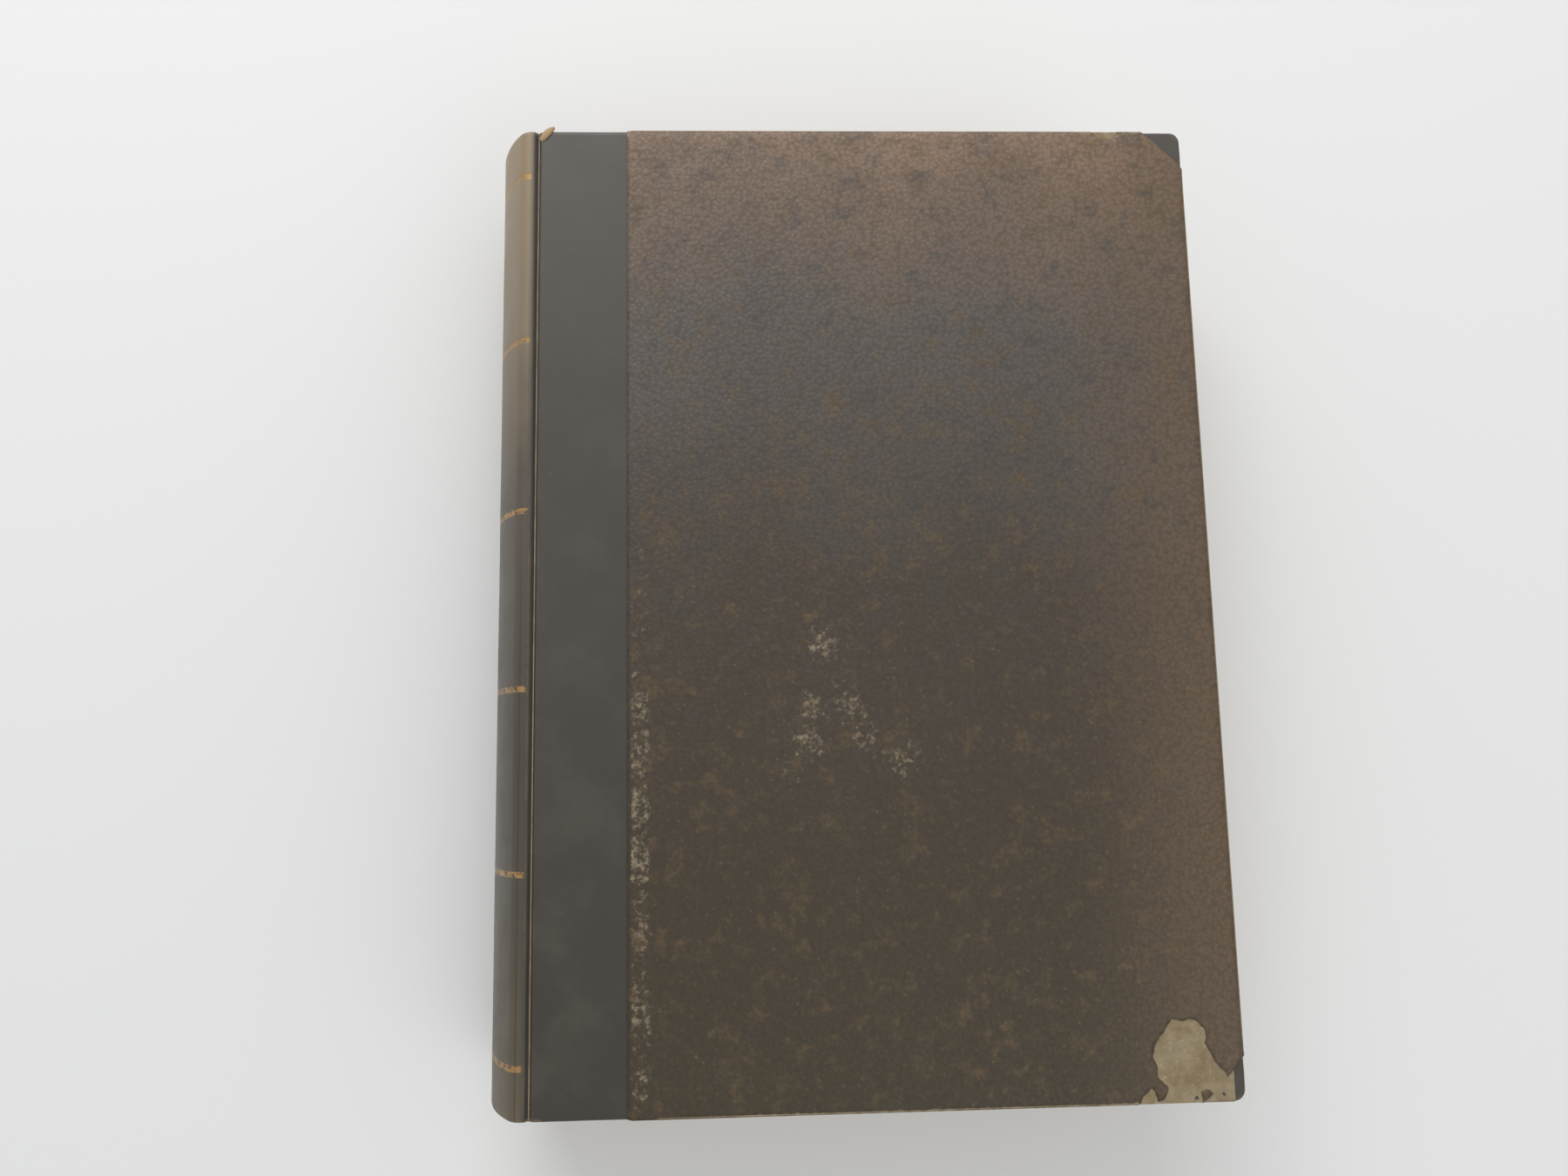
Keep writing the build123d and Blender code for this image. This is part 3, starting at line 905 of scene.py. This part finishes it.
def pasteboard():
    """Grey-tan board with pressed fibres and stains."""
    p = Paint("pasteboard", 0.88, 0.15)
    fibre = p.noise(0.5, 5.0, 0.7, (0.9, 0.4, 0.5))
    stain = p.noise(3.4, 4.0, 0.6)
    colour = p.colour(p.ramp(stain, 0.3, 0.7), (0.23, 0.17, 0.098), (0.32, 0.26, 0.165))
    colour = p.colour(p.ramp(fibre, 0.52, 0.75, 0.0, 0.5), colour, (0.2, 0.15, 0.09))
    colour = p.colour(p.ramp(p.noise(1.1, 4.0), 0.6, 0.72, 0.0, 0.5), colour, (0.42, 0.36, 0.26))
    return p.finish(colour, fibre, 0.14, 0.9)


def frayed():
    """The raw tan inside of torn leather."""
    p = Paint("raw_leather", 0.85, 0.15)
    fibre = p.noise(0.35, 5.0, 0.7, (0.25, 0.7, 0.4))
    colour = p.colour(fibre, (0.36, 0.22, 0.11), (0.58, 0.42, 0.26))
    return p.finish(colour, fibre, 0.2, 1.0)


def headband_thread():
    """Thread in faded red and cream bands, dusty."""
    p = Paint("headband_thread", 0.7, 0.25)
    fibre = p.noise(0.2, 3.0, 0.6)
    colour = p.colour(p.ramp(p.wear, 0.4, 0.6), (0.3, 0.07, 0.05), (0.55, 0.47, 0.33))
    colour = p.colour(p.ramp(fibre, 0.4, 0.7, 0.0, 0.5), colour, (0.2, 0.15, 0.1))
    return p.finish(colour, fibre, 0.08, 0.8)


def woven(name, light, dark, size):
    """A plain weave for the gauze and cords, in the object's own coordinates."""
    material = bpy.data.materials.new(name)
    material.use_nodes = True
    tree = material.node_tree
    shader = tree.nodes["Principled BSDF"]
    shader.inputs["Roughness"].default_value = 0.9
    where = tree.nodes.new("ShaderNodeTexCoord")
    checker = tree.nodes.new("ShaderNodeTexChecker")
    checker.inputs["Scale"].default_value = 1 / (size * MM)
    checker.inputs["Color1"].default_value = (*light, 1)
    checker.inputs["Color2"].default_value = (*dark, 1)
    tree.links.new(where.outputs["Object"], checker.inputs["Vector"])
    tree.links.new(checker.outputs["Color"], shader.inputs["Base Color"])
    bump = tree.nodes.new("ShaderNodeBump")
    bump.inputs["Distance"].default_value = 0.1 * MM
    tree.links.new(checker.outputs["Fac"], bump.inputs["Height"])
    tree.links.new(bump.outputs["Normal"], shader.inputs["Normal"])
    return material


def keep_place(node):
    """Gives a CAD node the same place attribute as the pieces made here."""
    mesh = frame["nodes"][node].data
    world = np.array([v.co for v in mesh.vertices]) - np.array((JOINT_X, 0, 0))
    kept = mesh.attributes.new("place", "FLOAT_VECTOR", "POINT")
    kept.data.foreach_set("vector", (world / MM).astype(np.float32).ravel())


def dress(nodes, material):
    """Gives CAD nodes that stay in view a material."""
    for node in nodes:
        keep_place(node)
        slots = frame["nodes"][node].data.materials
        slots.clear()
        slots.append(material)


# ---- the book

def book():
    """Every piece that is seen."""
    paper, hide, board = pebbled_paper(), dark_leather(), pasteboard()
    ends, leaves, threads = end_paper(), page_paper(), headband_thread()
    side_paper("front_paper", "front_cover", "front_side_paper", paper, True, 1.1, front_wear, False)
    side_paper("back_paper", "back_cover", "back_side_paper", paper, False, 1.7, plain_wear, True)
    whole = joint_path() + back_arcs()
    leather_piece("leather_back_and_front", whole,
                  ["spine_leather", "front_leather_strip"], hide, False, 1.4)
    leather_piece("leather_rear", joint_path() + back_arcs()[:1],
                  ["back_leather_strip"], hide, True, 1.8)
    for side, flip in (("front", False), ("back", True)):
        for end, head in (("head", True), ("tail", False)):
            name = f"{side}_corner_{end}"
            corner_piece(f"{name}_leather", f"{side}_cover", name, hide, head, flip)
        endpaper_hinge(f"{side}_endpaper_hinge", ends, flip)
    pages(leaves)
    headband("head_band", "headband_head", threads, 1)
    headband("tail_band", "headband_tail", threads, -1)
    bare_board(board)
    frayed_leather(frayed())
    dress(["front_board", "back_board"], board)
    dress(["front_pastedown", "back_pastedown", "front_flyleaf", "back_flyleaf"], ends)
    dress(["spine_liner"], board)
    cords = [node for node in frame["nodes"] if node.startswith("sewing_cord")]
    dress(cords, woven("hemp", (0.5, 0.4, 0.25), (0.38, 0.29, 0.17), 0.8))
    dress(["mull"], woven("gauze", (0.66, 0.6, 0.47), (0.5, 0.45, 0.34), 1.0))


# ---- the stage

def stage():
    """A pale floor, soft light from above and the head, and the camera."""
    bpy.ops.mesh.primitive_plane_add(size=6, location=(0, 0, -0.0002))
    floor = bpy.context.object
    floor.name = "floor"
    pale = bpy.data.materials.new("floor")
    pale.use_nodes = True
    shader = pale.node_tree.nodes["Principled BSDF"]
    shader.inputs["Base Color"].default_value = (0.8, 0.8, 0.79, 1)
    shader.inputs["Roughness"].default_value = 0.9
    floor.data.materials.append(pale)

    world = bpy.context.scene.world or bpy.data.worlds.new("world")
    bpy.context.scene.world = world
    world.use_nodes = True
    back = world.node_tree.nodes["Background"]
    back.inputs["Color"].default_value = (0.97, 0.98, 1.0, 1)
    back.inputs["Strength"].default_value = 0.6

    def lamp(name, place, aim, size, power):
        data = bpy.data.lights.new(name, "AREA")
        data.shape = "RECTANGLE"
        data.size, data.size_y = size
        data.energy = power
        made = bpy.data.objects.new(name, data)
        made.location = place
        made.rotation_euler = (Vector(aim) - Vector(place)).to_track_quat("-Z", "Y").to_euler()
        bpy.context.scene.collection.objects.link(made)

    lamp("window", (-0.25, 0.95, 0.75), (0, 0.02, 0.02), (1.0, 0.7), 9.0)
    lamp("room", (0.5, -0.6, 0.9), (0, 0, 0.02), (0.8, 0.8), 2.2)

    lens = bpy.data.cameras.new("camera")
    lens.lens = LENS
    lens.sensor_width = 36.0
    lens.clip_start = 0.01
    camera = bpy.data.objects.new("camera", lens)
    matrix = Matrix.Translation(Vector((JOINT_X, 0, THICK * MM)) + Vector(EYE))
    for degrees, axis in zip(TILT, "XYZ"):
        matrix = matrix @ Matrix.Rotation(math.radians(degrees), 4, axis)
    camera.matrix_world = matrix
    bpy.context.scene.collection.objects.link(camera)
    bpy.context.scene.camera = camera
    bpy.context.scene.view_settings.view_transform = "Standard"


book()
stage()
